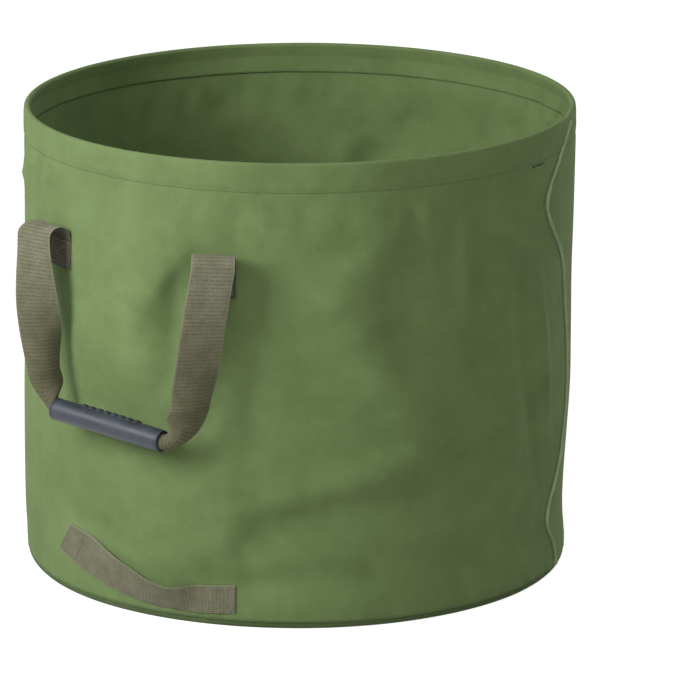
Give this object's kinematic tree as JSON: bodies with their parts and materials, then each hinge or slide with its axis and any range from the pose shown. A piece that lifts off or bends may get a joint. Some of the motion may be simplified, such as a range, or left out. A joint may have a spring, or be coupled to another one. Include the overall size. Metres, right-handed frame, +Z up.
{
  "type": "leaf bag",
  "caption": "Round open-topped fabric leaf bag with a wire-hooped rim, a webbing carry handle with a moulded grip on the front and rear, and a low grab strap near the base.",
  "frame": {"origin": "centre of the base's flat underside, on the floor", "axes": "+Z up along the bag's axis; the front handle and the low grab strap face -Y, the rear handle +Y, and the side seam is on the +X side"},
  "size_m": [0.6642, 0.7426, 0.5512],
  "materials": {
    "canvas": "woven sage green canvas",
    "webbing": "ribbed olive grey webbing",
    "thread": "green sewing thread",
    "binding_tape": "flat woven tape",
    "grip_plastic": "satin moulded grip",
    "spring_steel": "drawn wire"
  },
  "bodies": {
    "bag": {"wall_panel": "canvas", "base_panel": "canvas", "base_tape": "binding_tape", "rim_hoop": "spring_steel", "hoop_joiner": "spring_steel", "hem_stitching": "thread", "base_stitching": "thread", "side_seam_stitching": "thread", "hem_bar_tack": "thread", "front_tab_left": "webbing", "front_tab_left_stitching": "thread", "front_tab_right": "webbing", "front_tab_right_stitching": "thread", "front_fold_left": "webbing", "front_fold_right": "webbing", "rear_tab_left": "webbing", "rear_tab_left_stitching": "thread", "rear_tab_right": "webbing", "rear_tab_right_stitching": "thread", "rear_fold_left": "webbing", "rear_fold_right": "webbing", "lower_tab_left": "webbing", "lower_tab_left_stitching": "thread", "lower_tab_right": "webbing", "lower_tab_right_stitching": "thread", "lower_fold_left": "webbing", "lower_fold_right": "webbing"},
    "front_handle": {"front_strap": "webbing"},
    "front_grip_body": {"front_grip": "grip_plastic"},
    "rear_handle": {"rear_strap": "webbing"},
    "rear_grip_body": {"rear_grip": "grip_plastic"},
    "lower_handle": {"lower_strap": "webbing"}
  },
  "joints": [
    {"name": "front_handle_swing", "type": "hinge", "parent": "bag", "child": "front_handle", "pos_m": [0, -0.32645, 0.445], "axis": [-1, 0, 0], "range_deg": [0, 160], "deforming": ["front_fold_left", "front_fold_right"]},
    {"name": "front_grip_spin", "type": "hinge", "parent": "front_handle", "child": "front_grip_body", "pos_m": [-0.004, -0.35737, 0.232], "axis": [0.9977, 0, -0.068], "continuous": true},
    {"name": "rear_handle_swing", "type": "hinge", "parent": "bag", "child": "rear_handle", "pos_m": [0, 0.32645, 0.445], "axis": [1, 0, 0], "range_deg": [0, 160], "deforming": ["rear_fold_left", "rear_fold_right"]},
    {"name": "rear_grip_spin", "type": "hinge", "parent": "rear_handle", "child": "rear_grip_body", "pos_m": [0.004, 0.35737, 0.232], "axis": [-0.9977, 0, -0.068], "continuous": true},
    {"name": "lower_handle_swing", "type": "hinge", "parent": "bag", "child": "lower_handle", "pos_m": [-0.04646, -0.33079, 0.06905], "axis": [-0.9894, 0.0099, 0.1446], "range_deg": [0, 70], "deforming": ["lower_fold_left", "lower_fold_right"]}
  ]
}
